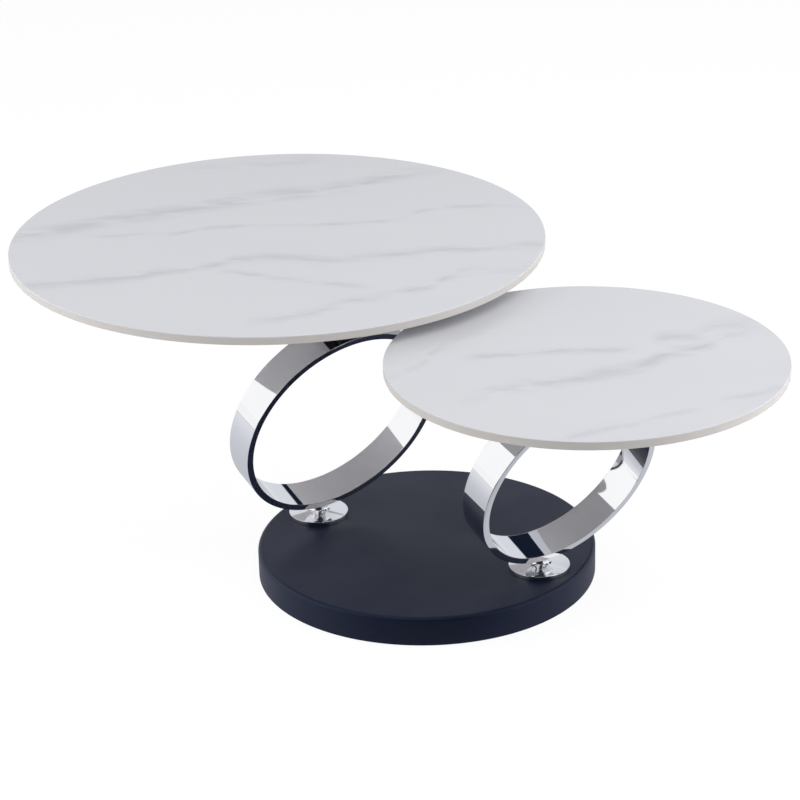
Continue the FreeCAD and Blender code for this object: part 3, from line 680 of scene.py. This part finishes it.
def make_world():
    """White to the eye.  A gloss mirrors a pale backdrop that ends above the table, with the
    unlit room over its right half, a white wall at either side and a dark camera side.  What the
    world casts is its own, plainer level."""
    world = bpy.data.worlds.new("white_studio")
    bpy.context.scene.world = world
    world.use_nodes = True
    tree = world.node_tree
    tree.nodes.clear()
    sides = in_studio(tree, add(tree, "TexCoord", output="Generated"))
    above = add(tree, "MapRange", {"Value": sides["Z"], "From Min": BACKDROP_TOP - BACKDROP_SOFT,
                                   "From Max": BACKDROP_TOP + BACKDROP_SOFT})
    behind = add(tree, "MapRange", {"Value": sides["Y"], "From Min": ROOM_AWAY[0],
                                    "From Max": ROOM_AWAY[1]})
    rightwards = add(tree, "MapRange", {"Value": sides["X"], "From Min": ROOM_RIGHT[0],
                                        "From Max": ROOM_RIGHT[1]})
    before = add(tree, "MapRange", {"Value": sides["Y"], "From Min": CAMERA_SIDE[0],
                                    "From Max": CAMERA_SIDE[1], "To Min": 1, "To Max": 0})
    sideways = add(tree, "Math", {0: sides["X"]}, operation="ABSOLUTE")
    walls = add(tree, "MapRange", {"Value": sideways, "From Min": WALLS[0], "From Max": WALLS[1]})
    over = add(tree, "Math", {0: above, 1: behind}, operation="MULTIPLY")
    unlit = add(tree, "Math", {0: over, 1: rightwards}, operation="MULTIPLY")
    far_side = add(tree, "Mix", {"Factor": unlit, COLOUR_A: linear("#D9DCE2"),
                                 COLOUR_B: linear("#141B2A")}, MIXED, data_type="RGBA")
    room = add(tree, "Mix", {"Factor": before, COLOUR_A: far_side, COLOUR_B: linear("#23272F")},
               MIXED, data_type="RGBA")
    mirrored = add(tree, "Mix", {"Factor": walls, COLOUR_A: room, COLOUR_B: WHITE},
                   MIXED, data_type="RGBA")
    light = add(tree, "Background", {"Color": WHITE, "Strength": WORLD_LIGHT})
    studio = add(tree, "Background", {"Color": mirrored, "Strength": 1})
    white = add(tree, "Background", {"Color": WHITE, "Strength": 1})
    straight, glossy = ray_kinds(tree)
    dull = add(tree, "MixShader", {0: glossy, 1: light, 2: studio})
    seen = add(tree, "MixShader", {0: straight, 1: dull, 2: white})
    add(tree, "OutputWorld", {0: seen})


FLOOR_SIZE = 60
# How white the floor is to the eye before the lamps add to it.
FLOOR_GLOW = 0.93
# How bright a gloss mirrors the floor, by metres from the table's middle: painted shade of the table,
# greyer close to it.
FLOOR_SHADE_LEVELS = ((0.0, "#B4B6BC"), (0.45, "#C2C4CB"), (0.8, "#D0D2D9"), (1.2, "#DCDDE3"),
                (1.8, "#E4E4E9"))
FLOOR_REACH = 2.4
# The sweep ends at the left in a grey strip, with the pale room floor beyond it, and the floor is
# painted dark towards the camera, as painted shade: places to the right and away, in metres.
SWEEP_EDGE = -1.95
SWEEP_EDGE_WIDTH = 0.06
SWEEP_EDGE_SOFT = 0.02
FLOOR_FRONT = -0.36
FLOOR_FRONT_SOFT = 0.15


def make_floor():
    """Pale sweep of the studio: white to the eye, with the table's faint shadow left on it.  A
    gloss mirrors it with painted shade, greyer close to the table and dark towards the camera,
    and up to the edge of the sweep at the left."""
    deselect()
    bpy.ops.mesh.primitive_plane_add(size=FLOOR_SIZE, location=(0, 0, 0))
    floor = bpy.context.object
    floor.name = "studio_floor"
    material = bpy.data.materials.new("pale_studio_floor")
    material.use_nodes = True
    tree = material.node_tree
    tree.nodes.clear()
    place = add(tree, "TexCoord", output="Object")
    far = add(tree, "VectorMath", {0: place}, "Value", operation="LENGTH")
    # Painted shade of the table: the mirrored floor is greyer the closer it is to the table's middle.
    table_shade_ramp = add(tree, "ValToRGB", {0: add(tree, "MapRange", {"Value": far, "From Max": FLOOR_REACH})})
    stops = table_shade_ramp.node.color_ramp.elements
    for count, (metres, colour) in enumerate(FLOOR_SHADE_LEVELS):
        stop = stops[count] if count < 2 else stops.new(1.0)
        stop.position = metres / FLOOR_REACH
        stop.color = linear(colour)
    sides = in_studio(tree, place)
    strip_edge = SWEEP_EDGE - SWEEP_EDGE_WIDTH
    past_sweep = add(tree, "MapRange", {"Value": sides["X"], "From Min": SWEEP_EDGE - SWEEP_EDGE_SOFT,
                                        "From Max": SWEEP_EDGE, "To Min": 1, "To Max": 0})
    before_room = add(tree, "MapRange", {"Value": sides["X"], "From Min": strip_edge - SWEEP_EDGE_SOFT,
                                         "From Max": strip_edge})
    strip = add(tree, "Math", {0: past_sweep, 1: before_room}, operation="MULTIPLY")
    # Painted shade: the mirrored floor turns dark towards the camera.
    near = add(tree, "MapRange", {"Value": sides["Y"], "From Min": FLOOR_FRONT,
                                  "From Max": FLOOR_FRONT + FLOOR_FRONT_SOFT, "To Min": 1, "To Max": 0})
    sweep = add(tree, "Mix", {"Factor": past_sweep, COLOUR_A: table_shade_ramp, COLOUR_B: linear("#FBFBFD")},
                MIXED, data_type="RGBA")
    edged = add(tree, "Mix", {"Factor": strip, COLOUR_A: sweep, COLOUR_B: linear("#8C8C90")},
                MIXED, data_type="RGBA")
    mirrored = add(tree, "Mix", {"Factor": near, COLOUR_A: edged, COLOUR_B: linear("#2E3038")},
                   MIXED, data_type="RGBA")
    matt = add(tree, "BsdfDiffuse", {"Color": linear("#E6E6E8")})
    faint = add(tree, "BsdfDiffuse", {"Color": linear("#58585A")})
    glow = add(tree, "Emission", {"Color": WHITE, "Strength": FLOOR_GLOW})
    grey_glow = add(tree, "Emission", {"Color": mirrored, "Strength": 1})
    shadowed = add(tree, "AddShader", {0: faint, 1: glow})
    straight, glossy = ray_kinds(tree)
    dull = add(tree, "MixShader", {0: glossy, 1: matt, 2: grey_glow})
    seen = add(tree, "MixShader", {0: straight, 1: dull, 2: shadowed})
    add(tree, "OutputMaterial", {0: seen})
    floor.data.materials.append(material)


# Soft lamps: place to the right, away and up, side, watts, and whether a gloss mirrors them.
SOFTBOXES = (
    ("overhead_softbox", (0.8, -0.6, 3.1), 2.4, 34, True),
    ("left_softbox", (-2.6, -0.2, 0.95), 2.2, 46, False),
    ("right_softbox", (2.6, -0.2, 0.95), 2.2, 52, False))
LAMP_AIM = Vector((0, 0, 0.3))


def make_softbox(name, sides, size, power, mirrored):
    """A square soft lamp that looks at the table, placed by the studio's own sides."""
    place = Matrix.Rotation(CAMERA_TURN, 3, "Z") @ Vector(sides)
    data = bpy.data.lights.new(name, "AREA")
    data.shape = "SQUARE"
    data.size = size
    data.energy = power
    lamp = bpy.data.objects.new(name, data)
    lamp.location = place
    lamp.rotation_euler = (LAMP_AIM - place).to_track_quat("-Z", "Y").to_euler()
    lamp.visible_glossy = mirrored
    bpy.context.scene.collection.objects.link(lamp)


# ------------------------------------------------------------------------------ the whole table
# The hoops are polished bar, the caps a buffed casting, and the lower saddles are left satin.
chrome = bright_chrome("bright_chrome", 0.04, 35)
cast_chrome = bright_chrome("cast_chrome", 0.05, 20)
satin_chrome = bright_chrome("satin_chrome", 0.2, 12)
# Powder coat, baked on: an even near-black with a fine pebble that breaks up its sheen.
powder_coat = plain_coat("black_powder_coat", "#15161A", "#1D1E23", 0.5, 1.2, 0.03)
enamel = satin_black_enamel()
rim_stone = stone_body()
stone_faces = {
    "large": veined_stone("veined_stone_large", middle("large_top"), LARGE_VEINS),
    "small": veined_stone("veined_stone_small", middle("small_top"), SMALL_VEINS)}
stone_backs = {unit: stone_backing("resin_backing_" + unit, middle(unit + "_top"), SHEET_EDGES[unit])
               for unit in UNITS}

make_base_shell(enamel)
make_caps(cast_chrome)
for unit in UNITS:
    make_hoop(unit, chrome)
    make_lower_saddle(unit, satin_chrome)
    make_upper_saddle(unit, powder_coat)
    make_stone(unit, stone_faces[unit], rim_stone, stone_backs[unit])

HARDWARE = (
    # Grey iron as cast in sand: dark and dull, with a grain of about 3 mm.
    (plain_metal("grey_cast_iron", "#4A4846", "#3A3937", 0.62, 3.0), ("ballast_disc",)),
    # Zinc-plated steel: cool pale grey, half bright, faintly clouded by the plating bath.
    (plain_metal("zinc_plated_steel", "#B9BCC2", "#A3A7B0", 0.34, 4.0),
     ("ballast_studs", "ballast_nuts", "pivot_studs", "pivot_nuts", "bottom_plate", "plate_spacers",
      "bottom_plate_screws", "large_plate_screws", "small_plate_screws", "large_spindle_nut",
      "small_spindle_nut")),
    # Steel straight from the lathe: greyer and brighter than zinc.
    (plain_metal("machined_steel", "#9EA1A6", "#8B8E94", 0.28, 2.0),
     ("large_pivot_housing", "small_pivot_housing", "large_spindle", "small_spindle",
      "large_thrust_washer", "small_thrust_washer")),
    # Turned brass: warm yellow, tarnished a little darker in patches.
    (plain_metal("turned_brass", "#C9A45C", "#B08C48", 0.3, 2.0),
     ("large_top_inserts", "small_top_inserts")),
    (powder_coat, ("large_support_plate", "small_support_plate")),
    # Acetal as machined: waxy off-white, almost without texture.
    (plain_coat("machined_acetal", "#E4E2DA", "#D9D7CE", 0.35, 6.0, 0.01),
     ("large_upper_bushing", "small_upper_bushing", "large_lower_bushing", "small_lower_bushing",
      "large_slide_washer", "small_slide_washer")),
    # Foam rubber as moulded: near-black and dead matt, with pores of about 0.8 mm.
    (plain_coat("foam_rubber", "#26272A", "#1C1D1F", 0.85, 0.8, 0.2), ("floor_pad",)))
for material, names in HARDWARE:
    for name in names:
        mesh = frame["nodes"][name].data
        mesh.materials.clear()
        mesh.materials.append(material)

make_camera()
make_world()
make_floor()
for lamp in SOFTBOXES:
    make_softbox(*lamp)

scene = bpy.context.scene
scene.view_settings.view_transform = "Standard"
